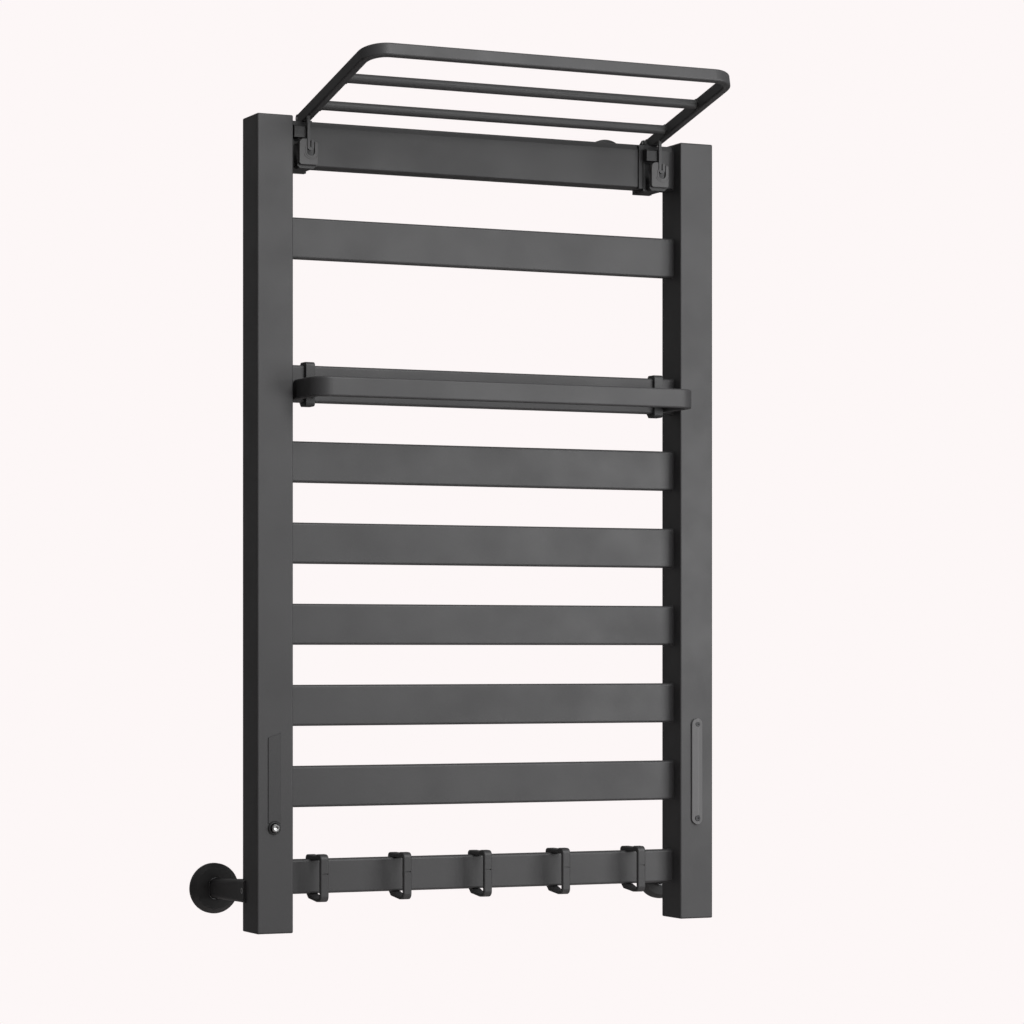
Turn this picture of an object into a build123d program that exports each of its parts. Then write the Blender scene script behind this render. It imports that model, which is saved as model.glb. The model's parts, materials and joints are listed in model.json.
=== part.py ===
from build123d import *
import math
import os

# Electric towel warmer rack, in millimetres.
# Frame: +X to the right seen from the front, +Y into the wall, +Z up.
# The wall is the plane Y = 0 and the origin is midway between the two lower wall screws.
# Places are worked out from d, the depth behind the front faces of the posts, and h, the
# height above the feet of the posts.

# ---- Frame ----
frame_width = 501.0
frame_height = 800.0
post_width = 37.5
post_depth = 42.0
post_wall = 1.6
post_edge_radius = 1.6
wall_distance = 125.0
lower_bracket_h = 37.5
upper_bracket_h = 792.5
cap_lip = 2.0
cap_round = 1.4
cap_plug = 12.0
cap_clearance = 0.15

# ---- Rails ----
rail_depth = 12.0
rail_height = 40.5
rail_wall = 1.5
rail_edge_radius = 2.5
rail_setback = 16.0
lowest_flat_rail_h = 142.5
rail_pitch = 79.9
second_rail_h = 682.2
bar_rail_h = 539.0
bar_rail_height = 36.5
hook_rail_h = 53.7
hook_rail_height = 34.0
hook_rail_setback = 19.0
hinge_rail_h = (753.1, 797.8)
hinge_rail_depth = 25.0
hinge_rail_bevel = (3.0, 5.5)
wire_slot_width = 6.0
wire_slot_margin = 11.0

# ---- Folding shelf ----
shelf_half_width = 197.5
shelf_bar_width = 8.3
shelf_bar_height = 12.7
shelf_bar_edge = 2.0
shelf_reach = 160.0
shelf_corner_radius = 25.0
shelf_tilt = 13.1
shelf_base_h = 800.6
shelf_rod_diameter = 9.6
shelf_rod_reaches = (83.0, 12.7)
shelf_pivot = (31.0, 802.2)
shelf_knuckle_radius = 3.9
shelf_relief_h = 798.3
leg_thickness = 2.9
leg_width = 7.0
leg_d = (1.7, 4.7)
leg_bottom_h = 767.0
leg_tip_h = 777.5

# ---- Hinge brackets, measured in X from the middle of the cradle's slot ----
slot_x = {"right": 192.7, "left": -194.0}
bracket_reach = (-12.8, 6.4)
bracket_back_thickness = 3.5
bracket_lip = 3.7
bracket_lip_front_d = 4.5
flange_thickness = 2.5
flange_front_d = 13.0
flange_reach = -15.9
stop_block_front_d = 5.0
stop_block_h = (779.8, 791.9)
stop_block_bevel = 1.8
ear_front_d = 22.0
rib_width = {"right": 4.5, "left": 2.8}
rib_front_d = 14.2
ear_thickness = 3.9
ear_gap = 0.3
ear_height = 2.3
pin_diameter = 3.0
pin_running_clearance = 0.05
bracket_screw_offset = -2.1
bracket_screw_h = (768.0, 786.0)
cradle_reach = (-12.0, 7.6)
cradle_d = (1.5, 4.5)
cradle_h = (752.8, 778.2)
cradle_slot_width = 8.2
cradle_slot_bottom_h = 761.4
cradle_prong_step = 2.7

# ---- Towel bar ----
bar_half_width = 208.6
bar_front_d = -47.0
bar_thickness = 8.0
bar_h = (522.8, 542.2)
bar_corner_radius = 19.0
bar_edge = 2.0
bar_pivot = (5.5, 532.5)
bar_heel_gap = 0.3
bar_pin_diameter = 4.0
bar_collar_diameter = 8.0
clip_x = {"right": (189.2, 199.2), "left": (-195.2, -185.4)}
clip_d = (12.0, 31.0)
clip_h = (516.8, 560.5)
clip_strap = 2.5

# ---- Ring hooks ----
hook_width = 9.0
hook_centres = (-182.8, -94.6, -7.2, 79.7, 164.9)
hook_gap = 0.3
hook_front_d = -7.0
hook_groove = (1.2, 1.0)
hook_groove_h = 57.2
hook_edge = 1.4

# ---- Wall brackets ----
lower_bracket_x = 251.5
upper_bracket_x = 187.0
rosette_radius = 25.35
rosette_height = 8.0
stem_size = (12.0, 20.0)
stem_foot_size = (16.2, 22.4)
stem_foot_d = 50.0
stem_prism_d = 113.0
stem_gap = 1.2
stem_counterbore = (9.6, 14.0)
rosette_wall = 1.75
sleeve_base = 2.5
wall_screw_diameter = 5.2

# ---- Controls ----
button_h = 103.3
button_x = -232.8
button_diameter = 8.0
button_front_d = -5.6
button_gap = 0.3
bezel_diameter = 12.8
bezel_thickness = 1.8
strip_width = 13.0
strip_thickness = 0.8
strip_h = (107.6, 196.0)
trim_plate_width = 12.0
trim_plate_thickness = 3.2
trim_plate_h = (97.4, 206.4)

# ---- Fasteners ----
screw_diameter = 4.0
screw_head_diameter = 7.0
screw_head_height = 2.4
lug_front_d = 32.5
lug_thickness = 2.7
lug_screw = (36.9, 40.3)
lug_screw_head = (6.0, 2.1)
upper_foot_x = 223.0
foot_screw_h = 766.0
foot_plate_d = 46.0
trim_screw_diameter = 2.6
trim_screw_places = ((200.4, 4.2), (103.4, 5.4))
trim_screw_seat_d = -1.7
grub_size = (2.5, 5.0)

# ---- Parts inside the posts and rails ----
board_x_reach = 10.5
board_d = (10.2, 11.8)
board_h = (89.5, 212.5)
carrier_wall = 1.2
heater_h = (230.0, 720.0)
heater_diameter = 9.0
heating_strip_size = (3.0, 16.0)
cutout_h = (400.0, 416.0)
lead_diameter = 3.0
lead_start_h = (204.0, 180.0)
gland_h = 78.0
gland_body = (16.0, 6.0)
gland_nose = (12.5, 4.0)
gland_thread_diameter = 11.6
gland_bore_diameter = 6.5
gland_nut_size = (18.0, 4.0)

post_x = frame_width / 2 - post_width / 2
post_inner_x = frame_width / 2 - post_width
hinge_rail_d = (rail_setback, rail_setback + hinge_rail_depth)
stem_end_d = wall_distance - sleeve_base
heater_d = rail_setback + rail_depth / 2

rails = {"rail_2": (second_rail_h, rail_height, rail_setback)}
rails["rail_3"] = (bar_rail_h, bar_rail_height, rail_setback)
for step in range(5):
    rails[f"rail_{8 - step}"] = (lowest_flat_rail_h + step * rail_pitch, rail_height, rail_setback)
rails["rail_9"] = (hook_rail_h, hook_rail_height, hook_rail_setback)
heated_rails = [name for name in rails if name not in ("rail_3", "rail_8", "rail_9")]


def y_of(d):
    """Row Y of a depth behind the front faces of the posts."""
    return d - wall_distance


def z_of(h):
    """Row Z of a height above the feet of the posts."""
    return h - lower_bracket_h


def block(x, d, h):
    """Box between two X places, two depths and two heights."""
    size = Box(x[1] - x[0], d[1] - d[0], h[1] - h[0])
    return Pos((x[0] + x[1]) / 2, y_of((d[0] + d[1]) / 2), z_of((h[0] + h[1]) / 2)) * size


def along_x(section, x):
    """Prism between two X places of a section drawn in depth and height."""
    return extrude(Plane.YZ.offset(x[0]) * Pos(y_of(0), z_of(0)) * section, amount=x[1] - x[0])


def along_y(section, d):
    """Prism between two depths of a section drawn in X and height."""
    return extrude(Plane.XZ.offset(-y_of(d[1])) * Pos(0, z_of(0)) * section, amount=d[1] - d[0])


def along_z(section, h):
    """Prism between two heights of a section drawn in X and depth."""
    return extrude(Plane.XY.offset(z_of(h[0])) * Pos(0, y_of(0)) * section, amount=h[1] - h[0])


def rod_x(diameter, place, x):
    """Round bar along X at a (depth, height) place."""
    return along_x(Pos(*place) * Circle(diameter / 2), x)


def rod_y(diameter, x, h, d):
    """Round bar along Y at an X place and a height."""
    return along_y(Pos(x, h) * Circle(diameter / 2), d)


def turned(profile, x, h):
    """Solid turned about a line along Y, from (radius, depth) points."""
    points = [(radius, y_of(d)) for radius, d in profile]
    face = make_face(Polyline(*points, close=True))
    return Pos(x, 0, z_of(h)) * revolve(face, Axis.Y)


def polygon(*points):
    """Sketch face through the points."""
    return make_face(Polyline(*points, close=True))


def both_sides(part):
    """A right-hand part and its mirrored left-hand twin."""
    return part, mirror(part, about=Plane.YZ)


def save(name, shape):
    """Write one node."""
    shape.label = name
    export_step(shape, f"parts/{name}.step")


# ---- Posts and caps ----
def make_post():
    """Right post: square tube with wire slots, screw holes and open ends under the caps."""
    outer = Pos(post_x, post_depth / 2) * RectangleRounded(post_width, post_depth, post_edge_radius)
    inner_size = (post_width - 2 * post_wall, post_depth - 2 * post_wall)
    inner = Pos(post_x, post_depth / 2) * Rectangle(*inner_size)
    post = along_z(outer - inner, (cap_lip, frame_height - cap_lip))
    inner_wall = (post_inner_x - 1, post_inner_x + post_wall + 1)
    for rail_h, height, setback in rails.values():
        slot_size = (wire_slot_width, height - wire_slot_margin)
        slot = Pos(setback + rail_depth / 2, rail_h) * RectangleRounded(*slot_size, wire_slot_width / 2.01)
        post -= along_x(slot, inner_wall)
    post -= rod_x(screw_diameter, lug_screw, (frame_width / 2 - 3, frame_width / 2 + 1))
    post -= rod_y(screw_diameter, upper_foot_x, foot_screw_h, (post_depth - 3, post_depth + 1))
    return post


def make_cap(h, direction):
    """Plastic end cap of the right post: a lip of the post's outline and a hollow plug."""
    lip_sketch = Pos(post_x, post_depth / 2) * RectangleRounded(post_width, post_depth, post_edge_radius)
    lip = along_z(lip_sketch, sorted((h, h + direction * cap_lip)))
    rim = lip.faces().sort_by(Axis.Z)[0 if direction > 0 else -1].edges()
    lip = fillet(rim, cap_round)
    plug_size = [side - 2 * (post_wall + cap_clearance) for side in (post_width, post_depth)]
    plug_ring = Rectangle(*plug_size) - Rectangle(plug_size[0] - 4, plug_size[1] - 4)
    plug_h = sorted((h + direction * cap_lip, h + direction * (cap_lip + cap_plug)))
    return lip + along_z(Pos(post_x, post_depth / 2) * plug_ring, plug_h)


# ---- Rails ----
def rail_outline(rail_h, height, setback):
    """Outer section of a flat rail."""
    size = RectangleRounded(rail_depth, height, rail_edge_radius)
    return Pos(setback + rail_depth / 2, rail_h) * size


def make_rail(rail_h, height, setback):
    """Flat rail: a rounded tube between the posts."""
    bore_size = (rail_depth - 2 * rail_wall, height - 2 * rail_wall)
    bore = Pos(setback + rail_depth / 2, rail_h) * RectangleRounded(*bore_size, 1.0)
    return along_x(rail_outline(rail_h, height, setback) - bore, (-post_inner_x, post_inner_x))


def hinge_rail_outline(inset):
    """Section of the hinge rail with its bevelled top front edge, inset by a wall."""
    front, back = hinge_rail_d[0] + inset, hinge_rail_d[1] - inset
    bottom, top = hinge_rail_h[0] + inset, hinge_rail_h[1] - inset
    bevel_d, bevel_h = hinge_rail_bevel
    face = polygon(
        (front, bottom),
        (back, bottom),
        (back, top),
        (front + bevel_d, top),
        (front, top - bevel_h),
    )
    return fillet(face.vertices(), 1.0 if inset else 1.8)


def make_hinge_rail():
    """Top rail: a deeper tube that carries the shelf hinges."""
    section = hinge_rail_outline(0) - hinge_rail_outline(rail_wall)
    rail = along_x(section, (-post_inner_x, post_inner_x))
    for x in slot_x.values():
        for h in bracket_screw_h:
            place = (x + bracket_screw_offset, h)
            rail -= rod_y(screw_diameter, *place, (hinge_rail_d[1] - 3, hinge_rail_d[1] + 1))
    return rail


# ---- Shelf ----
def shelf_plane():
    """Plane of the shelf's underside: X across, Y back along the arms, Z out of its top."""
    tilt = Rot(-shelf_tilt, 0, 0)
    return Plane(Location((0, y_of(0), z_of(shelf_base_h))) * tilt)


def bent_bar(half_width, reach, back, width, corner):
    """U outline, open to the back, of a bar bent at its two front corners."""
    length = reach + back
    outer = Pos(0, (back - reach) / 2) * Rectangle(2 * half_width, length)
    outer = fillet(outer.vertices().group_by(Axis.Y)[0], corner)
    inner = Pos(0, (back - reach) / 2 + width) * Rectangle(2 * (half_width - width), length)
    inner = fillet(inner.vertices().group_by(Axis.Y)[0], corner - width)
    return outer - inner


def make_shelf_frame():
    """Shelf frame: a bent flat bar whose arms end in knuckles on the pivot pins."""
    arm_back = shelf_pivot[0] / math.cos(math.radians(shelf_tilt))
    outline = bent_bar(shelf_half_width, shelf_reach, arm_back, shelf_bar_width, shelf_corner_radius)
    bar = extrude(outline, amount=shelf_bar_height)
    broad = bar.faces().sort_by(Axis.Z)
    edges = [edge for face in (broad[0], broad[-1]) for edge in face.edges()]
    long_edges = [edge for edge in edges if edge.center().Y < arm_back - 0.1]
    bar = shelf_plane() * fillet(long_edges, shelf_bar_edge)
    bar -= block((-frame_width, frame_width), (-10, 60), (shelf_relief_h - 40, shelf_relief_h))
    bar -= block((-frame_width, frame_width), (shelf_pivot[0], 60), (shelf_relief_h - 40, 830))
    for side in (-1, 1):
        arm_x = sorted((side * (shelf_half_width - shelf_bar_width), side * shelf_half_width))
        bar += rod_x(2 * shelf_knuckle_radius, shelf_pivot, arm_x)
    return bar - rod_x(pin_diameter + 2 * pin_running_clearance, shelf_pivot, (-frame_width, frame_width))


def make_shelf_rod(reach):
    """Round rod across the shelf, welded between the arms."""
    inner = shelf_half_width - shelf_bar_width
    axis = shelf_plane() * Pos(-inner, -reach, shelf_bar_height / 2) * Rot(0, 90, 0)
    return axis * extrude(Circle(shelf_rod_diameter / 2), amount=2 * inner)


def make_leg(centre_x, frame):
    """Hooked leg: a strip that hangs from the arm and curls up at its end."""
    outer_radius = leg_width / 2
    inner_radius = outer_radius - leg_thickness
    arc_h = leg_bottom_h + outer_radius
    ring = Pos(outer_radius, arc_h) * (Circle(outer_radius) - Circle(inner_radius))
    ring -= Pos(outer_radius, arc_h + leg_width) * Rectangle(2 * leg_width, 2 * leg_width)
    top_h = shelf_base_h + 2
    strip = Pos(leg_thickness / 2, (arc_h + top_h) / 2) * Rectangle(leg_thickness, top_h - arc_h)
    tip_x = leg_width - leg_thickness / 2
    tip = Pos(tip_x, (arc_h + leg_tip_h) / 2) * Rectangle(leg_thickness, leg_tip_h - arc_h)
    profile = ring + strip + tip
    profile = fillet(profile.vertices().group_by(Axis.Y)[-2], leg_thickness * 0.45)
    return along_y(Pos(centre_x - outer_radius, 0) * profile, leg_d) - frame


# ---- Hinge brackets ----
def make_hinge_bracket(centre_x, rib, ear_x):
    """Hinge bracket: wraps the hinge rail, stops the leg and holds the pivot pin in its ear."""
    low, high = centre_x + bracket_reach[0], centre_x + bracket_reach[1]
    flange_x = centre_x + flange_reach
    stop_x = (flange_x, centre_x - leg_width / 2 + leg_thickness)
    front_d, back_d = hinge_rail_d[0], hinge_rail_d[1] + bracket_back_thickness
    bottom_h, top_h = hinge_rail_h[0] - bracket_lip, hinge_rail_h[1]
    stop_block = block(stop_x, (stop_block_front_d, front_d + 4), stop_block_h)
    bevel_edge = stop_block.edges().filter_by(Axis.X).group_by(Axis.Y)[0].sort_by(Axis.Z)[-1]
    bracket = chamfer(bevel_edge, stop_block_bevel)
    flange_h = (hinge_rail_h[0] - 1, stop_block_h[0] + 2)
    bracket += block((flange_x, flange_x + flange_thickness), (flange_front_d, front_d + 4), flange_h)
    bracket += block((flange_x, centre_x), (flange_front_d, front_d + 4), (bottom_h, hinge_rail_h[0] + 3))
    lip = block((low, high), (bracket_lip_front_d, back_d), (bottom_h, hinge_rail_h[0] + 3))
    bracket += chamfer(lip.edges().filter_by(Axis.Y).group_by(Axis.Z)[0], 2.4)
    plate_x = (low, max(high, ear_x[1]))
    bracket += block(plate_x, (hinge_rail_d[1] - 3, back_d), (bottom_h, top_h))
    rib_x = (flange_x - rib, flange_x + 1)
    bracket += block(rib_x, (rib_front_d, front_d + 4), (hinge_rail_h[0] - 1, top_h - 1))
    bracket += along_x(ear_outline(), ear_x)
    bracket -= along_x(hinge_rail_outline(0), (flange_x - rib, plate_x[1]))
    bracket -= rod_x(pin_diameter, shelf_pivot, ear_x)
    for h in bracket_screw_h:
        place = (centre_x + bracket_screw_offset, h)
        bracket -= rod_y(screw_diameter, *place, (hinge_rail_d[1] - 1, back_d + 1))
    return bracket


def ear_outline():
    """Outline of the pivot ear, from the back plate forward over the top of the hinge rail."""
    pivot_d, pivot_h = shelf_pivot
    back_d = hinge_rail_d[1] + bracket_back_thickness
    bridge_h = hinge_rail_h[1] + 1.6
    ear = polygon(
        (ear_front_d, hinge_rail_h[1] - 2),
        (ear_front_d, bridge_h),
        (pivot_d - ear_height - 2.5, bridge_h),
        (pivot_d - ear_height, pivot_h + ear_height),
        (pivot_d + ear_height, pivot_h + ear_height),
        (back_d - 3, bridge_h),
        (back_d, bridge_h - 2),
        (back_d, hinge_rail_h[1] - 8),
    )
    return fillet(ear.vertices(), 0.5)


def make_cradle(centre_x):
    """Cradle: rounded plate with an open slot for the shelf's leg, a raised rim and a groove."""
    width = cradle_reach[1] - cradle_reach[0]
    height = cradle_h[1] - cradle_h[0]
    slot_radius = cradle_slot_width / 2
    slot_end = (centre_x, cradle_slot_bottom_h + slot_radius)
    plate = Pos(centre_x + cradle_reach[0] + width / 2, cradle_h[0] + height / 2) * Rectangle(width, height)
    plate = fillet(plate.vertices().group_by(Axis.Y)[-1].sort_by(Axis.X)[0], 4.8)
    plate = fillet(plate.vertices().group_by(Axis.Y)[0], 2.2)
    prong = Rectangle(slot_radius + 4, cradle_prong_step, align=(Align.MIN, Align.MAX))
    plate -= Pos(centre_x, cradle_h[1]) * prong
    plate = fillet(plate.vertices().sort_by(Axis.X)[-1], 2.4)

    def slot(radius):
        """Open-topped slot outline of the given half width."""
        sides = Rectangle(2 * radius, height, align=(Align.CENTER, Align.MIN))
        return Pos(*slot_end) * (Circle(radius) + sides)

    body = along_y(plate - slot(slot_radius), cradle_d)
    body = fillet(body.faces().sort_by(Axis.Y)[0].edges(), 0.5)
    rim_window = Rectangle(30, height - 8, align=(Align.CENTER, Align.MIN))
    rim = (slot(slot_radius + 1.3) - slot(slot_radius)) & (Pos(centre_x, cradle_h[0]) * rim_window)
    body += along_y(rim, (cradle_d[0] - 0.4, cradle_d[0] + 1))
    groove = Circle(slot_radius + 3.7) - Circle(slot_radius + 3.1)
    groove -= Pos(0, slot_radius) * Rectangle(40, 3 * slot_radius)
    return body - along_y(Pos(*slot_end) * groove, (cradle_d[0] - 1, cradle_d[0] + 0.4))


def make_bracket_screws():
    """Pan-head screws that hold the hinge brackets to the back of the hinge rail."""
    back_d = hinge_rail_d[1] + bracket_back_thickness
    screws = []
    for centre_x in slot_x.values():
        for h in bracket_screw_h:
            place = (centre_x + bracket_screw_offset, h)
            shank = rod_y(screw_diameter, *place, (hinge_rail_d[1] - 6, back_d))
            screws.append(turned(pan_head(back_d), *place) + shank)
    return Compound(children=screws)


def pan_head(seat_d):
    """(radius, depth) points of a screw head that stands behind its seat."""
    radius = screw_head_diameter / 2
    top = seat_d + screw_head_height
    socket = radius * 0.5
    return [
        (0, seat_d),
        (radius, seat_d),
        (radius, top - 0.8),
        (radius - 0.8, top),
        (socket, top),
        (socket, top - 1.2),
        (0, top - 1.2),
    ]


# ---- Towel bar ----
def make_towel_bar():
    """Towel bar: a flat bar bent to a U whose arms pivot on the clips' pins."""
    height = bar_h[1] - bar_h[0]
    heel_d = rail_setback - bar_heel_gap
    outline = bent_bar(bar_half_width, -bar_front_d, heel_d, bar_thickness, bar_corner_radius)
    bar = along_z(outline, bar_h)
    broad = bar.faces().sort_by(Axis.Z)
    edges = [edge for face in (broad[0], broad[-1]) for edge in face.edges()]
    long_edges = [edge for edge in edges if edge.center().Y < y_of(heel_d) - 0.1]
    bar = fillet(long_edges, bar_edge)
    corner = block((-frame_width, frame_width), (bar_pivot[0], heel_d + 5), (bar_pivot[1], bar_h[1] + 5))
    bar -= corner - rod_x(height, bar_pivot, (-frame_width, frame_width))
    bore = bar_pin_diameter + 2 * pin_running_clearance
    for side in (-1, 1):
        depth = bar_half_width - 1.5
        pin_x = sorted((side * (bar_half_width - bar_thickness - 1), side * depth))
        bar -= rod_x(bore, bar_pivot, pin_x)
    return bar


def make_bar_clip(reach_x):
    """Towel bar clip: a ring round rail_3 with a boss for the pivot pin."""
    width = clip_d[1] - clip_d[0]
    height = clip_h[1] - clip_h[0]
    ring = Pos(clip_d[0] + width / 2, clip_h[0] + height / 2) * Rectangle(width, height)
    ring = fillet(ring.vertices().group_by(Axis.X)[0], 3.6)
    ring = chamfer(ring.vertices().group_by(Axis.X)[-1], 4.5)
    ring = fillet(ring.vertices().group_by(Axis.X)[-1], 1.5)
    clip = along_x(ring, reach_x)
    ends = [clip.faces().sort_by(Axis.X)[index] for index in (0, -1)]
    clip = fillet(ends[0].edges() + ends[1].edges(), 0.6)
    boss = block(reach_x, (bar_pivot[0], clip_d[0] + 1), (bar_pivot[1] - 5, bar_pivot[1] + 5))
    clip += boss + rod_x(10, bar_pivot, reach_x)
    front_gap = (clip_d[0] + clip_strap, rail_setback + 3)
    clip -= block(reach_x, front_gap, (bar_rail_h - 14.5, bar_rail_h + 14.5))
    clip -= along_x(rail_outline(*rails["rail_3"]), reach_x)
    return clip - rod_x(bar_pin_diameter, bar_pivot, reach_x)


def make_bar_pins():
    """Collared pivot pins between the clips and the towel bar's arms."""
    pin_end = bar_half_width - 2
    collar_end = bar_half_width - bar_thickness - bar_heel_gap
    right = rod_x(bar_pin_diameter, bar_pivot, (clip_x["right"][0], pin_end))
    right += rod_x(bar_collar_diameter, bar_pivot, (clip_x["right"][1], collar_end))
    left = rod_x(bar_pin_diameter, bar_pivot, (-pin_end, clip_x["left"][1]))
    left += rod_x(bar_collar_diameter, bar_pivot, (-collar_end, clip_x["left"][0]))
    return Compound(children=[right, left])


# ---- Ring hooks ----
def rounded_at(face, place, radius):
    """Face with the corner nearest to a place rounded."""
    return fillet(face.vertices().sort_by_distance(place)[0], radius)


def hook_outline():
    """Outer outline and hole of a ring hook in depth and height."""
    rail_top = hook_rail_h + hook_rail_height / 2 + hook_gap
    rail_bottom = hook_rail_h - hook_rail_height / 2 - hook_gap
    rail_back = hook_rail_setback + rail_depth + hook_gap
    front = hook_front_d
    outer = polygon(
        (front, rail_bottom - 6.4),
        (front, rail_top + 5.4),
        (4, rail_top + 5.4),
        (6, rail_top + 4),
        (rail_back + 3.4, rail_top + 4),
        (rail_back + 3.4, rail_bottom + 1),
        (rail_back - 4, rail_bottom - 5),
        (6, rail_bottom - 7.2),
    )
    hole = polygon(
        (front + 3, rail_bottom - 3.4),
        (front + 3, rail_top),
        (rail_back, rail_top),
        (rail_back, rail_bottom),
        (hook_rail_setback + 4, rail_bottom),
        (8, rail_bottom - 4.8),
    )
    outer = rounded_at(outer, (front, rail_bottom - 6.4), 6)
    outer = rounded_at(outer, (front, rail_top + 5.4), 5)
    outer = rounded_at(outer, (rail_back + 3.4, rail_top + 4), 4)
    outer = rounded_at(outer, (rail_back + 3.4, rail_bottom + 1), 3)
    hole = rounded_at(hole, (front + 3, rail_bottom - 3.4), 3)
    return outer, rounded_at(hole, (front + 3, rail_top), 2)


def make_hook(x):
    """Ring hook: a moulded band that closes round rail_9 and stands out in front of it."""
    outer, hole = hook_outline()
    hook = along_x(outer - hole, (x - hook_width / 2, x + hook_width / 2))
    sides = [hook.faces().sort_by(Axis.X)[index] for index in (0, -1)]
    rims = [side.outer_wire().edges() for side in sides]
    hook = fillet(rims[0] + rims[1], hook_edge)
    height, depth = hook_groove
    groove_h = (hook_groove_h - height / 2, hook_groove_h + height / 2)
    return hook - block((x - 3.2, x + 3.2), (hook_front_d - 1, hook_front_d + depth), groove_h)


# ---- Wall brackets ----
def oval(size, x, h):
    """Rounded stem section in X and height."""
    return Pos(x, h) * RectangleRounded(*size, min(size) / 2.02)


def tapered_stem(wall_place, foot_place, foot_size):
    """Stem that tapers from the wall sleeve to its foot, with room for the screw's head."""
    prism = along_y(oval(stem_size, *wall_place), (stem_prism_d, stem_end_d))
    wall_section = Plane.XZ.offset(-y_of(stem_prism_d)) * Pos(0, z_of(0)) * oval(stem_size, *wall_place)
    foot = Pos(*foot_place) * RectangleRounded(*foot_size, 3)
    foot_section = Plane.XZ.offset(-y_of(stem_foot_d)) * Pos(0, z_of(0)) * foot
    stem = prism + loft([wall_section, foot_section])
    bore_diameter, bore_depth = stem_counterbore
    return stem - rod_y(bore_diameter, *wall_place, (stem_end_d - bore_depth, stem_end_d + 1))


def make_lower_stem():
    """Right lower stem: its foot laps the post's outer side and is screwed there."""
    foot_x = frame_width / 2 + lug_thickness - stem_foot_size[0] / 2
    foot_place = (foot_x, lower_bracket_h + 2.2)
    stem = tapered_stem((lower_bracket_x, lower_bracket_h), foot_place, stem_foot_size)
    foot = Pos(*foot_place) * RectangleRounded(*stem_foot_size, 3)
    stem += along_y(foot, (lug_front_d, stem_foot_d))
    stem -= block((0, frame_width / 2), (-5, post_depth), (0, 100))
    return stem - lug_screw_shape()


def lug_screw_shape():
    """Flush screw through the right lower stem's lug into the post."""
    head_diameter, head_depth = lug_screw_head
    outer_x = frame_width / 2 + lug_thickness
    shank = rod_x(screw_diameter, lug_screw, (frame_width / 2 - 8, outer_x - head_depth))
    return shank + rod_x(head_diameter, lug_screw, (outer_x - head_depth, outer_x))


def make_upper_stem():
    """Right upper stem: its foot plate is screwed to the back of the post."""
    foot_place = (upper_foot_x, upper_bracket_h - 7.5)
    stem = tapered_stem((upper_bracket_x, upper_bracket_h), foot_place, stem_foot_size)
    foot = Pos(*foot_place) * RectangleRounded(*stem_foot_size, 3)
    stem += along_y(foot, (post_depth, stem_foot_d))
    plate_x = (upper_foot_x - 8, upper_foot_x + 8)
    stem += block(plate_x, (post_depth, foot_plate_d), (foot_screw_h - 7, foot_place[1]))
    return stem - rod_y(screw_diameter, upper_foot_x, foot_screw_h, (post_depth - 1, stem_foot_d))


def make_stem_screws():
    """The four screws that fix the stems to the posts."""
    shank = rod_y(screw_diameter, upper_foot_x, foot_screw_h, (post_depth - 8, foot_plate_d))
    upper = turned(pan_head(foot_plate_d), upper_foot_x, foot_screw_h) + shank
    lower = lug_screw_shape()
    outer_x = frame_width / 2 + lug_thickness
    socket = rod_x(lug_screw_head[0] / 2, lug_screw, (outer_x - lug_screw_head[1] + 0.7, outer_x))
    return Compound(children=both_sides(upper) + both_sides(lower - socket))


def make_rosette(x, h):
    """Round cover with a bevelled rim and an oval collar round the stem."""
    front = wall_distance - rosette_height
    wall = rosette_wall
    profile = [
        (rosette_radius - wall, wall_distance),
        (rosette_radius, wall_distance),
        (rosette_radius, front + 3.5),
        (rosette_radius - 0.6, front + 2.6),
        (rosette_radius - 4.6, front),
        (0, front),
        (0, front + wall),
        (rosette_radius - 5.2, front + wall),
        (rosette_radius - wall, front + 4.3),
    ]
    clear = (stem_size[0] + 2 * stem_gap, stem_size[1] + 2 * stem_gap)
    collar = oval((clear[0] + 2.4, clear[1] + 2.4), x, h)
    rosette = turned(profile, x, h) + along_y(collar, (front - 0.5, front + 0.5))
    return rosette - along_y(oval(clear, x, h), (front - 5, front + 3))


def make_sleeve(x, h):
    """Wall sleeve under a rosette: a disc with the screw hole and a socket for the stem."""
    disc = rod_y(2 * (rosette_radius - 1.95), x, h, (stem_end_d, wall_distance))
    socket = oval((stem_size[0] + 5, stem_size[1] + 5), x, h) - oval(stem_size, x, h)
    sleeve = disc + along_y(socket, (stem_end_d - 3.5, stem_end_d))
    sleeve -= rod_y(wall_screw_diameter, x, h, (stem_end_d - 1, wall_distance + 1))
    return sleeve - make_grub(x, h)


def make_grub(x, h):
    """Grub screw that locks a stem in its sleeve, from below."""
    diameter, length = grub_size
    centre_h = h - stem_size[1] / 2 - length / 2
    return Pos(x, y_of(stem_end_d - 1.75), z_of(centre_h)) * Cylinder(diameter / 2, length)


# ---- Controls and electrics ----
def make_left_strip():
    """Left trim strip: a thin cover with a slanted top that ends at the power button."""
    left, right = button_x - strip_width / 2, button_x + strip_width / 2
    face = polygon((left, strip_h[0]), (right, strip_h[0]), (right, strip_h[1]), (left, strip_h[1] - 4.5))
    face -= Pos(button_x, button_h) * Circle(bezel_diameter / 2 + 0.1)
    strip = along_y(face, (-strip_thickness, 0))
    rim = strip.faces().sort_by(Axis.Y)[0].edges()
    return chamfer(rim, 0.3)


def make_button_bezel():
    """Bezel: the round end of the trim strip, with a chamfered hole for the button."""
    radius = bezel_diameter / 2
    hole = button_diameter / 2 + button_gap
    profile = [
        (hole, 0),
        (radius, 0),
        (radius, -bezel_thickness + 0.5),
        (radius - 0.5, -bezel_thickness),
        (hole + 0.7, -bezel_thickness),
        (hole, -bezel_thickness + 0.9),
    ]
    return turned(profile, button_x, button_h)


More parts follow.
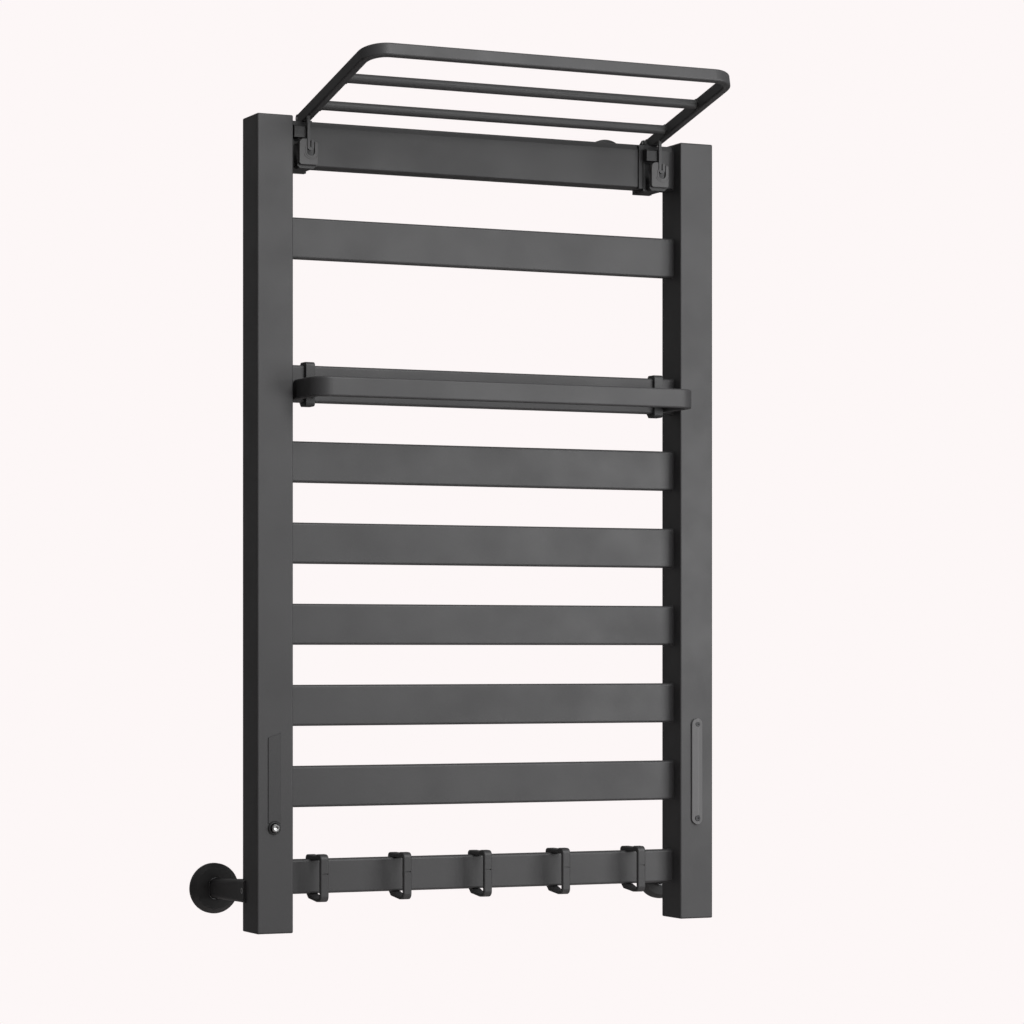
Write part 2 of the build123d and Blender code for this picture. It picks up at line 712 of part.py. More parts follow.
def make_power_button():
    """Power button: a plunger with a dished cap, kept in by a flange behind the post's wall."""
    radius = button_diameter / 2
    profile = [
        (0, button_front_d + 0.5),
        (radius - 1.6, button_front_d),
        (radius - 0.8, button_front_d),
        (radius, button_front_d + 0.9),
        (radius, 2.8),
        (radius + 1, 2.8),
        (radius + 1, 5.4),
        (0, 5.4),
    ]
    return turned(profile, button_x, button_h)


def make_trim_plate():
    """Right trim plate: a raised pill with a ridge along its middle."""
    centre_h = sum(trim_plate_h) / 2
    length = trim_plate_h[1] - trim_plate_h[0]
    half = trim_plate_width / 2
    pill = Pos(post_x, centre_h) * SlotOverall(length, trim_plate_width, rotation=90)
    plate = along_y(pill, (-trim_plate_thickness, 0))
    roof = polygon(
        (post_x - half, 0),
        (post_x + half, 0),
        (post_x + half, -trim_plate_thickness + 1.9),
        (post_x + 1.2, -trim_plate_thickness),
        (post_x + 0.6, -trim_plate_thickness),
        (post_x - half, -trim_plate_thickness + 1.3),
    )
    plate &= along_z(roof, trim_plate_h)
    for h, head_diameter in trim_screw_places:
        plate -= rod_y(head_diameter + 0.8, post_x, h, (-4, trim_screw_seat_d))
        plate -= rod_y(trim_screw_diameter, post_x, h, (-4, 1))
    return plate


def make_trim_screws():
    """The two socket screws of the trim plate."""
    screws = []
    top_d = -trim_plate_thickness + 0.3
    for h, head_diameter in trim_screw_places:
        head = rod_y(head_diameter, post_x, h, (top_d, trim_screw_seat_d))
        shank = rod_y(trim_screw_diameter, post_x, h, (trim_screw_seat_d, 5))
        socket = rod_y(head_diameter * 0.45, post_x, h, (top_d - 1, trim_screw_seat_d - 0.4))
        screws.append(head + shank - socket)
    return Compound(children=screws)


def make_carrier():
    """Tray that holds the controller board on four stand-offs behind the post's front wall."""
    low_h, high_h = board_h
    reach = board_x_reach + 0.3
    tray_x = (-post_x - reach - carrier_wall, -post_x + reach + carrier_wall)
    tray = block(tray_x, (board_d[0] - carrier_wall, board_d[1] + 2.2), (low_h - 1.5, high_h + 1.5))
    room_h = (low_h - 0.3, high_h + 0.3)
    tray -= block((-post_x - reach, -post_x + reach), (board_d[0] - 2 * carrier_wall, board_d[1]), room_h)
    for h in lead_start_h:
        tray -= rod_y(lead_diameter + 0.4, -post_x, h, (board_d[1] - 1, board_d[1] + 3))
    for x in (-post_x - board_x_reach - 0.5, -post_x + board_x_reach + 0.5):
        for h in (low_h + 2.5, high_h - 2.5):
            tray += rod_y(2.0, x, h, (post_wall, board_d[0]))
    return tray


def make_board():
    """Controller board with its push switch, relay and terminal block."""
    board = block((-post_x - board_x_reach, -post_x + board_x_reach), board_d, board_h)
    board += block((button_x - 3, button_x + 3), (6.7, board_d[0]), (button_h - 3, button_h + 3))
    board += block((-post_x - 8, -post_x + 8), (4.0, board_d[0]), (150, 168))
    return board + block((-post_x - 9, -post_x + 9), (4.5, board_d[0]), (186, 196))


def make_wiring():
    """Leads from the board to both heater rods, the far one through rail_8."""
    near_h, far_h = lead_start_h
    near = lead((-post_x, board_d[1], near_h), (-post_x, heater_d, near_h), (-post_x, heater_d, heater_h[0]))
    far = lead(
        (-post_x, board_d[1], far_h),
        (-post_x, heater_d, far_h),
        (-post_x, heater_d, lowest_flat_rail_h),
        (post_x, heater_d, lowest_flat_rail_h),
        (post_x, heater_d, heater_h[0]),
    )
    return Compound(children=[near, far])


def lead(*places):
    """Round lead through (x, depth, height) places."""
    points = [(x, y_of(d), z_of(h)) for x, d, h in places]
    path = FilletPolyline(*points, radius=4)
    start = Plane(origin=path @ 0, z_dir=path % 0)
    return sweep(start * Circle(lead_diameter / 2), path=path)


def make_heating_strips():
    """Flat heating strips, one inside each heated rail."""
    strips = []
    reach = post_inner_x - 8
    for name in heated_rails:
        strip = Pos(heater_d, rails[name][0]) * Rectangle(*heating_strip_size)
        strips.append(along_x(strip, (-reach, reach)))
    return Compound(children=strips)


def make_gland():
    """Cable gland through the back wall of the left post."""
    shoulder_d = post_depth + gland_body[1]
    tip_d = shoulder_d + gland_nose[1]
    nose = rod_y(gland_nose[0], -post_x, gland_h, (shoulder_d, tip_d))
    nose = chamfer(nose.faces().sort_by(Axis.Y)[-1].edges(), 1.2)
    body = rod_y(gland_body[0], -post_x, gland_h, (post_depth, shoulder_d))
    thread = rod_y(gland_thread_diameter, -post_x, gland_h, (post_depth - 8, post_depth))
    bore = rod_y(gland_bore_diameter, -post_x, gland_h, (post_depth - 9, tip_d + 1))
    return body + nose + thread - bore


def make_gland_nut():
    """Hexagonal lock nut of the gland, inside the post."""
    across, thickness = gland_nut_size
    hexagon = RegularPolygon(across / 2, 6) - Circle(gland_thread_diameter / 2)
    inner_face_d = post_depth - post_wall
    return along_y(Pos(-post_x, gland_h) * hexagon, (inner_face_d - thickness, inner_face_d))


os.makedirs("parts", exist_ok=True)

# Posts, caps and rails
right_post, left_post = both_sides(make_post())
left_post -= rod_y(button_diameter + 2 * button_gap, button_x, button_h, (-1, post_wall + 1))
left_post -= rod_y(gland_thread_diameter, -post_x, gland_h, (post_depth - 3, post_depth + 1))
for screw_h, _ in trim_screw_places:
    right_post -= rod_y(trim_screw_diameter, post_x, screw_h, (-1, post_wall + 1))
save("left_post", left_post)
save("right_post", right_post)
for end, cap in (("top", make_cap(frame_height, -1)), ("bottom", make_cap(0, 1))):
    for side, shape in zip(("right", "left"), both_sides(cap)):
        save(f"{side}_post_{end}_cap", shape)
save("hinge_rail", make_hinge_rail())
for rail_name, rail_places in rails.items():
    save(rail_name, make_rail(*rail_places))

# Folding shelf
shelf_frame = make_shelf_frame()
save("shelf_frame", shelf_frame)
for number, rod_reach in enumerate(shelf_rod_reaches, 1):
    save(f"shelf_rod_{number}", make_shelf_rod(rod_reach))
for side, centre in slot_x.items():
    save(f"{side}_shelf_leg", make_leg(centre, shelf_frame))

# Hinge brackets
arm_inner_x = shelf_half_width - shelf_bar_width
ear_outer_x = arm_inner_x - ear_gap
ear_inner_x = ear_outer_x - ear_thickness
ears = {"right": (ear_inner_x, ear_outer_x), "left": (-ear_outer_x, -ear_inner_x)}
for side, centre in slot_x.items():
    save(f"{side}_hinge_bracket", make_hinge_bracket(centre, rib_width[side], ears[side]))
    save(f"{side}_cradle", make_cradle(centre))
hinge_pin = rod_x(pin_diameter, shelf_pivot, (ear_inner_x, shelf_half_width))
save("hinge_pins", Compound(children=both_sides(hinge_pin)))
save("bracket_screws", make_bracket_screws())

# Towel bar
save("towel_bar", make_towel_bar())
for side, reach_x in clip_x.items():
    save(f"{side}_bar_clip", make_bar_clip(reach_x))
save("bar_pins", make_bar_pins())

# Ring hooks
for number, hook_x in enumerate(hook_centres, 1):
    save(f"ring_hook_{number}", make_hook(hook_x))

# Wall brackets
lower_place = (lower_bracket_x, lower_bracket_h)
upper_place = (upper_bracket_x, upper_bracket_h)
stems = (("lower", make_lower_stem(), lower_place), ("upper", make_upper_stem(), upper_place))
sleeves = []
grubs = []
for level, stem_shape, place in stems:
    for side, shape in zip(("right", "left"), both_sides(stem_shape)):
        save(f"{level}_{side}_stem", shape)
    for side, shape in zip(("right", "left"), both_sides(make_rosette(*place))):
        save(f"{level}_{side}_rosette", shape)
    sleeves += both_sides(make_sleeve(*place))
    grubs += both_sides(make_grub(*place))
save("wall_sleeves", Compound(children=sleeves))
save("grub_screws", Compound(children=grubs))
save("stem_screws", make_stem_screws())

# Controls and electrics
save("left_trim_strip", make_left_strip())
save("button_bezel", make_button_bezel())
save("power_button", make_power_button())
save("right_trim_plate", make_trim_plate())
save("trim_screws", make_trim_screws())
save("controller_carrier", make_carrier())
save("controller_board", make_board())
for side, rod_centre in (("left", -post_x), ("right", post_x)):
    heater = along_z(Pos(rod_centre, heater_d) * Circle(heater_diameter / 2), heater_h)
    save(f"{side}_heater_rod", heater)
save("rail_heating_strips", make_heating_strips())
save("internal_wiring", make_wiring())
cutout_d = (heater_d - heater_diameter / 2 - 4, heater_d - heater_diameter / 2)
save("thermal_cutout", block((-post_x - 4, -post_x + 4), cutout_d, cutout_h))
save("cable_gland", make_gland())
save("gland_nut", make_gland_nut())
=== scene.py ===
import json
import math
import random

import bmesh
import bpy
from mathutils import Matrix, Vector


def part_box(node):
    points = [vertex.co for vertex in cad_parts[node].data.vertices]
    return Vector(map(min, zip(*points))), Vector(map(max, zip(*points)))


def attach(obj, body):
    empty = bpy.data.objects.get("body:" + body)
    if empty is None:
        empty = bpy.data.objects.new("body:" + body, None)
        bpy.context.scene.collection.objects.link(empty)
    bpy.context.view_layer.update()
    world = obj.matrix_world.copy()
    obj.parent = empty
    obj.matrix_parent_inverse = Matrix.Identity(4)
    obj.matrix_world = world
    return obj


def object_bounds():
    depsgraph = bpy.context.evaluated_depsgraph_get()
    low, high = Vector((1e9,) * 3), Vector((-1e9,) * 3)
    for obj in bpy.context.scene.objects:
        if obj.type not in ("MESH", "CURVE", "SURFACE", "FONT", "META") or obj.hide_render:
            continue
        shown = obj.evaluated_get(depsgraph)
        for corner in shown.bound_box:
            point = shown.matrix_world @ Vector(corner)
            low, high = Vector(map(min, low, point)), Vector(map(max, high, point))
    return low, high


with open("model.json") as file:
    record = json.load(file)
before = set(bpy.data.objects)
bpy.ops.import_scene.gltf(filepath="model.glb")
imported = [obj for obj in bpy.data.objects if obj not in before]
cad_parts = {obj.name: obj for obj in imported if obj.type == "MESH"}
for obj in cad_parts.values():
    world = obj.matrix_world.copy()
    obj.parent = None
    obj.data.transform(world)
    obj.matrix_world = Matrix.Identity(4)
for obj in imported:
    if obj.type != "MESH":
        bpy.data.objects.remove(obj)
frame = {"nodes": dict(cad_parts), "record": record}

cad_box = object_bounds()
nodes = frame["nodes"]
record = frame["record"]

# ---- Camera, backdrop and floor, in metres in the frame of the rack ----
CAMERA_PLACE = (-1.3927, -3.2124, 0.2370)
CAMERA_YAW = math.radians(-24.62)
CAMERA_LENS = 118.6
CAMERA_SHIFT_Y = 0.1372
BACKDROP_COLOR = (0.982, 0.930, 0.930, 1)
FLOOR_COLOR = (0.80, 0.76, 0.75, 1)
FLOOR_HEIGHT = -0.85
FLOOR_SIZE = 3.2

# ---- Fill light: its strength, and its share at a low and at a high direction, by the direction's Z ----
FILL_STRENGTH = 0.165
FILL_COLOR = (1, 0.985, 0.98, 1)
FILL_HEIGHTS = (-0.6, 0.6)
FILL_SHARES = (0.15, 1.6)

# ---- Lights: place from the middle of the rack, size in metres, power in watts ----
LIGHTS = {
    "key_light": ((0.50, -2.4, 1.42), 1.3, 46),
    "side_glow": ((1.02, -1.35, -0.05), 0.9, 13.5),
    "top_light": ((0.10, -1.0, 2.4), 1.6, 12),
}

# ---- Surface scales, in cycles per metre ----
CLOUD_SCALE = 7.0
PATCH_SCALE = 22.0
WEAR_SCALE = 90.0
PEEL_SCALE = 750.0
GRAIN_SCALE = 2600.0
FLOW_SCALE = 30.0
EROSION_SCALE = 1800.0
DRAWN_LINE_SCALE = 2800.0
STAIN_SCALE = 110.0
MOTTLE_SCALE = 160.0
PIT_SCALE = 1200.0
WEAVE_SCALE = 1500.0
BLOOM_SCALE = 220.0
DUST_SCALE = 900.0
ROD_LINE_SCALE = 240.0
ROD_CLOUD_SCALE = 28.0

# ---- How far round an edge the wear reaches, in metres ----
COAT_WEAR_REACH = 0.0012
PLASTIC_WEAR_REACH = 0.0008

# ---- Depth of a bump at full height, in metres ----
LINE_DEPTH = 0.00004
FINE_DEPTH = 0.00005
EROSION_DEPTH = 0.00008
MIDDLE_DEPTH = 0.0001
COARSE_DEPTH = 0.0002
MOTTLE_DEPTH = 0.0003


# ---- Shader building blocks ----
class Shader:
    """A material's node tree with short names for what is added often."""

    def __init__(self, name):
        self.material = bpy.data.materials.new(name)
        self.material.use_nodes = True
        self.tree = self.material.node_tree
        self.principled = self.tree.nodes["Principled BSDF"]
        self.place = self.add("ShaderNodeTexCoord").outputs["Object"]

    def add(self, kind, **values):
        node = self.tree.nodes.new(kind)
        for key, value in values.items():
            setattr(node, key, value)
        return node

    def join(self, output, socket):
        self.tree.links.new(output, socket)

    def noise(self, scale, detail=3.0, stretch=None):
        """Noise value at a scale, stretched along the axes."""
        node = self.add("ShaderNodeTexNoise")
        node.inputs["Scale"].default_value = scale
        node.inputs["Detail"].default_value = detail
        place = self.place
        if stretch:
            mapping = self.add("ShaderNodeMapping")
            mapping.inputs["Scale"].default_value = stretch
            self.join(place, mapping.inputs["Vector"])
            place = mapping.outputs["Vector"]
        self.join(place, node.inputs["Vector"])
        return node.outputs["Fac"]

    def spread(self, value, low, high, start=0.3, end=0.7):
        """A value's range start to end, carried to low to high."""
        node = self.add("ShaderNodeMapRange")
        node.inputs["From Min"].default_value = start
        node.inputs["From Max"].default_value = end
        node.inputs["To Min"].default_value = low
        node.inputs["To Max"].default_value = high
        self.join(value, node.inputs["Value"])
        return node.outputs["Result"]

    def blend_colors(self, value, first, second):
        """Colour between two colours or outputs by a value."""
        node = self.add("ShaderNodeMix", data_type="RGBA")
        self.join(value, node.inputs["Factor"])
        for socket, source in ((node.inputs[6], first), (node.inputs[7], second)):
            if isinstance(source, tuple):
                socket.default_value = source
            else:
                self.join(source, socket)
        return node.outputs[2]

    def tint(self, value, color, darkest, lightest):
        """A colour from its darkest to its lightest share by a value."""
        return self.blend_colors(self.spread(value, 0, 1), scaled(color, darkest), scaled(color, lightest))

    def edges(self, radius):
        """How far the surface turns within a radius: 0 on flats, more on edges."""
        bevel = self.add("ShaderNodeBevel", samples=6)
        bevel.inputs["Radius"].default_value = radius
        geometry = self.add("ShaderNodeNewGeometry")
        dot = self.add("ShaderNodeVectorMath", operation="DOT_PRODUCT")
        self.join(bevel.outputs["Normal"], dot.inputs[0])
        self.join(geometry.outputs["Normal"], dot.inputs[1])
        edge_dot, flat_dot = 0.80, 0.995
        return self.spread(dot.outputs["Value"], 1.0, 0.0, edge_dot, flat_dot)

    def roughen(self, value, low, high):
        """Roughness between low and high by a value."""
        self.join(self.spread(value, low, high), self.principled.inputs["Roughness"])

    def bumps(self, layers):
        """Stacked bumps from (height, strength, distance) layers."""
        normal = None
        for height, strength, distance in layers:
            bump = self.add("ShaderNodeBump")
            bump.inputs["Strength"].default_value = strength
            bump.inputs["Distance"].default_value = distance
            self.join(height, bump.inputs["Height"])
            if normal:
                self.join(normal, bump.inputs["Normal"])
            normal = bump.outputs["Normal"]
        self.join(normal, self.principled.inputs["Normal"])


def scaled(color, factor):
    """A colour made lighter or darker."""
    return tuple(min(part * factor, 1.0) for part in color[:3]) + (1,)


# ---- Materials ----
def powder_coat(name, color, roughness=0.5, wear=0.35, peel=0.10):
    """Fine matt powder coat: cloudy tone, orange peel, grain and edges rubbed a little lighter."""
    shader = Shader(name)
    cloud = shader.noise(CLOUD_SCALE, 4)
    grain = shader.noise(GRAIN_SCALE, 2)
    tone = shader.tint(cloud, color, 0.93, 1.07)
    speck = shader.blend_colors(shader.spread(grain, 0, 0.5, 0.45, 0.8), tone, scaled(color, 1.5))
    worn = shader.noise(WEAR_SCALE, 5)
    rubbed = shader.add("ShaderNodeMath", operation="MULTIPLY")
    shader.join(shader.edges(COAT_WEAR_REACH), rubbed.inputs[0])
    shader.join(shader.spread(worn, 0.3 * wear, wear, 0.35, 0.65), rubbed.inputs[1])
    coat = shader.blend_colors(rubbed.outputs["Value"], speck, scaled(color, 1.5))
    shader.join(coat, shader.principled.inputs["Base Color"])
    shader.roughen(shader.noise(PATCH_SCALE, 5), roughness - 0.05, roughness + 0.06)
    shader.bumps(((shader.noise(PEEL_SCALE, 2), peel, COARSE_DEPTH), (grain, 0.12, FINE_DEPTH)))
    return shader.material


def rod_coat_with_painted_shade(name, color):
    """The coat on a rod: darker than the bars, with fine lines and clouds along the rod that are painted
    shade for the rod's shading.
    """
    shader = Shader(name)
    lines = shader.noise(ROD_LINE_SCALE, 3, (0.04, 1, 1))
    cloud = shader.noise(ROD_CLOUD_SCALE, 3)
    # Painted shade: streaks and clouds below the coat's own colour stand in for the shading on the rods.
    tone = shader.tint(lines, color, 0.48, 0.92)
    shaded_tone = shader.blend_colors(shader.spread(cloud, 0, 0.35), tone, scaled(color, 0.55))
    shader.join(shaded_tone, shader.principled.inputs["Base Color"])
    shader.roughen(lines, 0.44, 0.58)
    shader.bumps(((lines, 0.25, COARSE_DEPTH), (shader.noise(PEEL_SCALE, 2), 0.10, COARSE_DEPTH)))
    return shader.material


def moulded_plastic(name, color, roughness=0.48):
    """Moulded plastic: spark-eroded grain, faint flow lines and paler corners."""
    shader = Shader(name)
    flow = shader.noise(FLOW_SCALE, 3, (1, 1, 0.25))
    tone = shader.tint(flow, color, 0.9, 1.1)
    rubbed = shader.spread(shader.edges(PLASTIC_WEAR_REACH), 0.0, 0.35, 0, 1)
    shader.join(shader.blend_colors(rubbed, tone, scaled(color, 1.8)), shader.principled.inputs["Base Color"])
    erosion = shader.noise(EROSION_SCALE, 3)
    shader.roughen(erosion, roughness - 0.06, roughness + 0.08)
    shader.bumps(((erosion, 0.16, EROSION_DEPTH), (flow, 0.05, COARSE_DEPTH)))
    return shader.material


def turned_steel(name, color, roughness=0.28, stretch=(0.15, 1, 1)):
    """Bare steel with fine drawn lines and darker stains."""
    shader = Shader(name)
    lines = shader.noise(DRAWN_LINE_SCALE, 3, stretch)
    stains = shader.noise(STAIN_SCALE, 5)
    tone = shader.tint(stains, color, 0.8, 1.08)
    shader.join(tone, shader.principled.inputs["Base Color"])
    shader.principled.inputs["Metallic"].default_value = 1.0
    shader.roughen(lines, roughness - 0.08, roughness + 0.12)
    shader.bumps(((lines, 0.12, LINE_DEPTH), (stains, 0.04, COARSE_DEPTH)))
    return shader.material


def blackened_steel(name, color):
    """Blackened screw steel: darker and smoother than the bare screws."""
    return turned_steel(name, scaled(color, 0.4), 0.2)


def cast_zinc(name, color):
    """Die-cast zinc: a dull, mottled skin with fine pits."""
    shader = Shader(name)
    mottle = shader.noise(MOTTLE_SCALE, 6)
    pits = shader.noise(PIT_SCALE, 2)
    tone = shader.tint(mottle, color, 0.7, 1.1)
    shader.join(tone, shader.principled.inputs["Base Color"])
    shader.principled.inputs["Metallic"].default_value = 0.85
    shader.roughen(mottle, 0.42, 0.62)
    shader.bumps(((pits, 0.2, MIDDLE_DEPTH), (mottle, 0.1, MOTTLE_DEPTH)))
    return shader.material


def board_laminate(name, color):
    """Glass-fibre board: a faint weave under the solder mask."""
    shader = Shader(name)
    warp = shader.noise(WEAVE_SCALE, 1, (1, 1, 0.1))
    weft = shader.noise(WEAVE_SCALE, 1, (0.1, 1, 1))
    tone = shader.tint(warp, color, 0.8, 1.2)
    shader.join(tone, shader.principled.inputs["Base Color"])
    shader.roughen(weft, 0.25, 0.4)
    shader.bumps(((warp, 0.1, FINE_DEPTH), (weft, 0.1, FINE_DEPTH)))
    return shader.material


def silicone(name, color):
    """Silicone lead: soft sheen with a dusty bloom."""
    shader = Shader(name)
    bloom = shader.noise(BLOOM_SCALE, 4)
    tone = shader.tint(bloom, color, 0.85, 1.2)
    shader.join(tone, shader.principled.inputs["Base Color"])
    shader.roughen(bloom, 0.45, 0.65)
    shader.bumps(((shader.noise(DUST_SCALE, 3), 0.1, MIDDLE_DEPTH),))
    return shader.material


def slot_color(slot):
    """The record's base colour of a material slot."""
    color = next(entry["base_color"] for entry in record["materials"] if entry["slot"] == slot)
    return tuple(color[:3]) + (1,)


MAKERS = {
    "post_coat": powder_coat,
    "rail_coat": powder_coat,
    # hinge_rail_coat is a darker copy of the rail coat: painted shade for the shelf's shadow on the top rail.
    "hinge_rail_coat": powder_coat,
    "shelf_coat": powder_coat,
    "bar_coat": powder_coat,
    # bracket_coat has a lowered base colour: painted shade for the shade on the brackets' stop blocks.
    "bracket_coat": powder_coat,
    "cradle_coat": powder_coat,
    "stem_coat": powder_coat,
    # rosette_coat is darker than the posts' coat, partly its own colour and partly painted shade for the
    # post's shadow on the rosettes.
    "rosette_coat": powder_coat,
    "strip_coat": powder_coat,
    "trim_satin": powder_coat,
    "clip_plastic": moulded_plastic,
    "hook_plastic": moulded_plastic,
    "cap_plastic": moulded_plastic,
    "bezel_plastic": moulded_plastic,
    "carrier_plastic": moulded_plastic,
    "cutout_case": moulded_plastic,
    "gland_plastic": moulded_plastic,
    "pin_steel": turned_steel,
    "screw_steel": turned_steel,
    "black_screw_steel": blackened_steel,
    "heater_steel": turned_steel,
    "strip_foil": turned_steel,
    "button_metal": turned_steel,
    "zinc_casting": cast_zinc,
    "board_laminate": board_laminate,
    "lead_insulation": silicone,
}

SHELF_RODS = ("shelf_rod_1", "shelf_rod_2")


def dress_nodes():
    """Gives every CAD node the material of its slot, and the shelf's rods a darker coat of their own that
    paints shade on them.
    """
    materials = {slot: make(slot, slot_color(slot)) for slot, make in MAKERS.items()}
    for entry in record["subparts"]:
        node = nodes[entry["node"]]
        if not node.material_slots:
            node.data.materials.append(None)
        for material_slot in node.material_slots:
            material_slot.material = materials[entry["material_slot"]]
    # The rods' coat is a darker copy of the shelf coat: painted shade.
    painted_shade_rod_coat = rod_coat_with_painted_shade("shelf_rod_painted_shade_coat", slot_color("shelf_coat"))
    for name in SHELF_RODS:
        nodes[name].material_slots[0].material = painted_shade_rod_coat
    return materials


# ---- Weld beads ----
WELD_SECTION_STEPS = 10
CORNER_STEPS = 8
RUN_STEP = 0.0012
RIPPLES_PER_POINT = 0.45
RIPPLE_HEIGHT = 0.10
ROD_BEAD_THICKNESS = 0.0011
ROD_BEAD_SEED = 11
ROD_BEAD_ROUNDNESS = 0.999
RAIL_BEAD_THICKNESS = 0.0006
RAIL_CORNER_RADIUS = 0.0025
RAIL_BEAD_SEED = 12


def rounded_loop(centre, half_size, radius):
    """Closed (y, z, outward y, outward z) points round a rounded rectangle."""
    loop = []
    corners = ((1, 1, 0), (-1, 1, 90), (-1, -1, 180), (1, -1, 270))
    for side_y, side_z, start in corners:
        corner_y = centre[0] + side_y * (half_size[0] - radius)
        corner_z = centre[1] + side_z * (half_size[1] - radius)
        for step in range(CORNER_STEPS + 1):
            angle = math.radians(start + 90 * step / CORNER_STEPS)
            out_y, out_z = math.cos(angle), math.sin(angle)
            loop.append((corner_y + radius * out_y, corner_z + radius * out_z, out_y, out_z))
    filled = []
    for this, after in zip(loop, loop[1:] + loop[:1]):
        length = math.hypot(after[0] - this[0], after[1] - this[1])
        count = max(1, round(length / RUN_STEP))
        for step in range(count):
            part = step / count
            filled.append(tuple(a + (b - a) * part for a, b in zip(this, after)))
    return filled


def add_bead(mesh, loop, x, thickness, dice):
    """Adds one rippled weld bead round a loop at an X place."""
    ripple = dice.uniform(0, math.tau)
    waves = max(6, round(len(loop) * RIPPLES_PER_POINT))
    rings = []
    for index, (y, z, out_y, out_z) in enumerate(loop):
        turn = ripple + waves * math.tau * index / len(loop)
        size = thickness * (1 + RIPPLE_HEIGHT * math.sin(turn))
        size *= dice.uniform(0.94, 1.06)
        ring = []
        for step in range(WELD_SECTION_STEPS):
            angle = math.tau * step / WELD_SECTION_STEPS
            out = size * math.cos(angle)
            ring.append(mesh.verts.new((x + size * math.sin(angle), y + out * out_y, z + out * out_z)))
        rings.append(ring)
    for ring, after in zip(rings, rings[1:] + rings[:1]):
        for step in range(WELD_SECTION_STEPS):
            following = (step + 1) % WELD_SECTION_STEPS
            mesh.faces.new((ring[step], ring[following], after[following], after[step]))


def make_welds(name, beads, material, body, seed):
    """One piece that holds several weld beads, each (loop, x, thickness)."""
    dice = random.Random(seed)
    mesh = bmesh.new()
    for loop, x, thickness in beads:
        add_bead(mesh, loop, x, thickness, dice)
    bmesh.ops.recalc_face_normals(mesh, faces=mesh.faces)
    data = bpy.data.meshes.new(name)
    mesh.to_mesh(data)
    mesh.free()
    for face in data.polygons:
        face.use_smooth = True
    data.materials.append(material)
    piece = bpy.data.objects.new(name, data)
    bpy.context.scene.collection.objects.link(piece)
    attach(piece, body)


def middle_and_half(low, high):
    """Middle (y, z) and half size (y, z) of a box with these corners."""
    middle = ((low[1] + high[1]) / 2, (low[2] + high[2]) / 2)
    return middle, ((high[1] - low[1]) / 2, (high[2] - low[2]) / 2)


def beads_at_ends(node, radius_of, thickness):
    """Beads round both ends of a bar that lies along X."""
    low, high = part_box(node)
    middle, half = middle_and_half(low, high)
    loop = rounded_loop(middle, half, radius_of(half))
    return [(loop, low[0], thickness), (loop, high[0], thickness)]


def make_rod_welds(material):
    """Beads where the shelf's rods meet its arms."""
    beads = []
    for node in SHELF_RODS:
        beads += beads_at_ends(node, lambda half: half[0] * ROD_BEAD_ROUNDNESS, ROD_BEAD_THICKNESS)
    make_welds("shelf_rod_welds", beads, material, "folding_shelf", ROD_BEAD_SEED)


def make_rail_welds(material):
    """Beads where the rails meet the posts."""
    beads = []
    for entry in record["subparts"]:
        if "rail_coat" in entry["material_slot"]:
            beads += beads_at_ends(entry["node"], lambda half: RAIL_CORNER_RADIUS, RAIL_BEAD_THICKNESS)
    make_welds("rail_welds", beads, material, "rack", RAIL_BEAD_SEED)


# ---- Stage ----
def make_camera():
    """Camera low in front of the rack and to its left, turned to it, with upright verticals."""
    data = bpy.data.cameras.new("camera")
    data.lens = CAMERA_LENS
    data.sensor_width = 36.0
    data.shift_y = CAMERA_SHIFT_Y
    data.clip_end = 100
    camera = bpy.data.objects.new("camera", data)
    camera.location = CAMERA_PLACE
    camera.rotation_euler = (math.radians(90), 0, CAMERA_YAW)
    bpy.context.scene.collection.objects.link(camera)
    bpy.context.scene.camera = camera


def make_floor():
    """Plain pale floor below the rack."""
    mesh = bpy.data.meshes.new("floor")
    half = FLOOR_SIZE / 2
    corners = [(-half, -half, 0), (half, -half, 0), (half, half, 0), (-half, half, 0)]
    mesh.from_pydata(corners, [], [(0, 1, 2, 3)])
    floor = bpy.data.objects.new("floor", mesh)
    floor.location = (0, 0, FLOOR_HEIGHT)
    bpy.context.scene.collection.objects.link(floor)
    shader = Shader("floor")
    shader.principled.inputs["Base Color"].default_value = FLOOR_COLOR
    shader.principled.inputs["Roughness"].default_value = 0.9
    mesh.materials.append(shader.material)


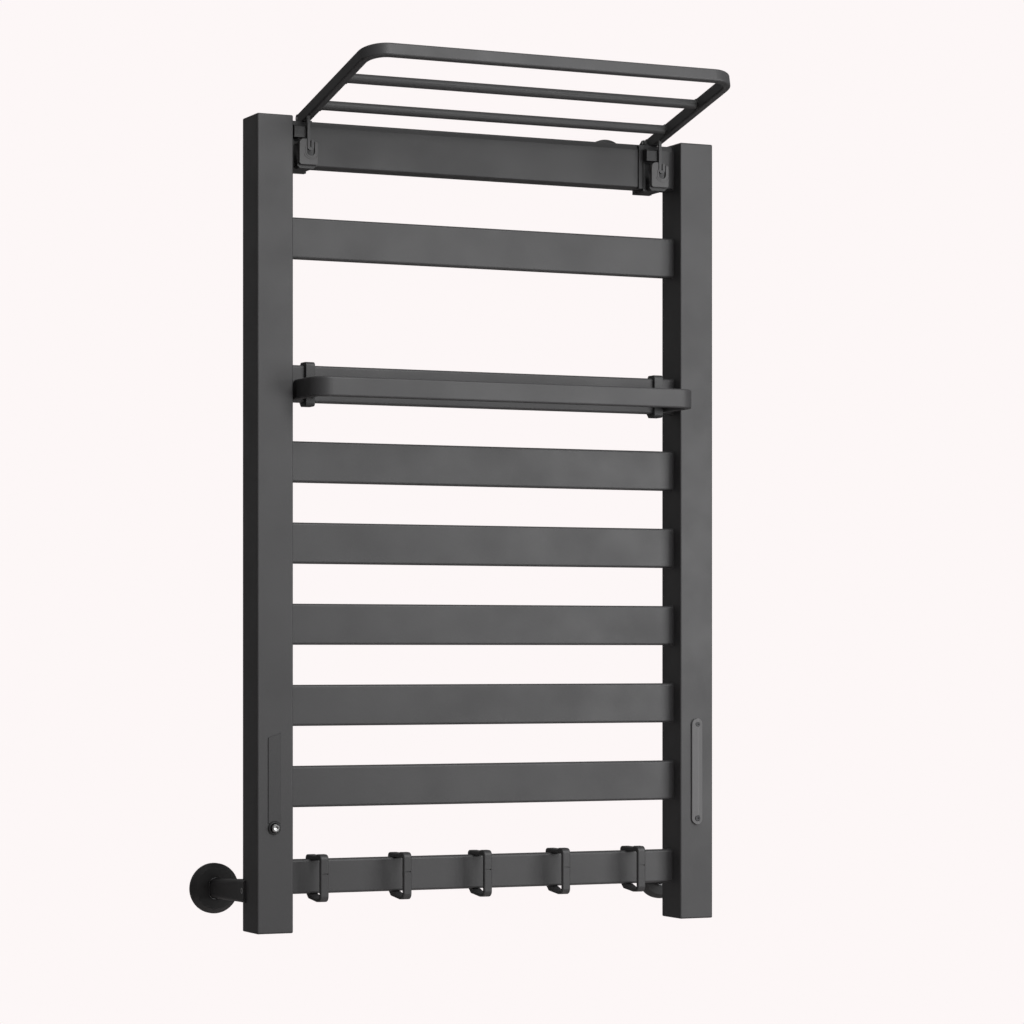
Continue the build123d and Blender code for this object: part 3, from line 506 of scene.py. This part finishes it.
def make_area_light(name, place, target, size, power):
    """Soft square light that faces a target."""
    data = bpy.data.lights.new(name, "AREA")
    data.shape = "SQUARE"
    data.size = size
    data.energy = power
    light = bpy.data.objects.new(name, data)
    light.location = place
    light.rotation_euler = (Vector(target) - Vector(place)).to_track_quat("-Z", "Y").to_euler()
    bpy.context.scene.collection.objects.link(light)


def make_surroundings():
    """Pale surroundings, seen brighter than the fill light that they give."""
    world = bpy.data.worlds.new("surroundings")
    bpy.context.scene.world = world
    world.use_nodes = True
    tree = world.node_tree
    seen = tree.nodes["Background"]
    seen.inputs["Color"].default_value = BACKDROP_COLOR
    lit = tree.nodes.new("ShaderNodeBackground")
    lit.inputs["Color"].default_value = FILL_COLOR
    direction = tree.nodes.new("ShaderNodeTexCoord")
    parts = tree.nodes.new("ShaderNodeSeparateXYZ")
    rise = tree.nodes.new("ShaderNodeMapRange")
    rise.inputs["From Min"].default_value = FILL_HEIGHTS[0]
    rise.inputs["From Max"].default_value = FILL_HEIGHTS[1]
    rise.inputs["To Min"].default_value = FILL_SHARES[0] * FILL_STRENGTH
    rise.inputs["To Max"].default_value = FILL_SHARES[1] * FILL_STRENGTH
    tree.links.new(direction.outputs["Generated"], parts.inputs[0])
    tree.links.new(parts.outputs["Z"], rise.inputs["Value"])
    tree.links.new(rise.outputs["Result"], lit.inputs["Strength"])
    mix = tree.nodes.new("ShaderNodeMixShader")
    rays = tree.nodes.new("ShaderNodeLightPath")
    tree.links.new(rays.outputs["Is Camera Ray"], mix.inputs["Fac"])
    tree.links.new(lit.outputs[0], mix.inputs[1])
    tree.links.new(seen.outputs[0], mix.inputs[2])
    tree.links.new(mix.outputs[0], tree.nodes["World Output"].inputs["Surface"])


def make_stage():
    """Camera, floor and soft studio light round the rack."""
    centre = (Vector(cad_box[0]) + Vector(cad_box[1])) / 2
    make_camera()
    make_floor()
    make_surroundings()
    for name, (offset, size, power) in LIGHTS.items():
        make_area_light(name, centre + Vector(offset), centre, size, power)
    bpy.context.scene.view_settings.view_transform = "Standard"


materials = dress_nodes()
# The rod welds take the bracket coat, whose darker base colour is partly painted shade.
make_rod_welds(materials["bracket_coat"])
make_rail_welds(materials["rail_coat"])
make_stage()
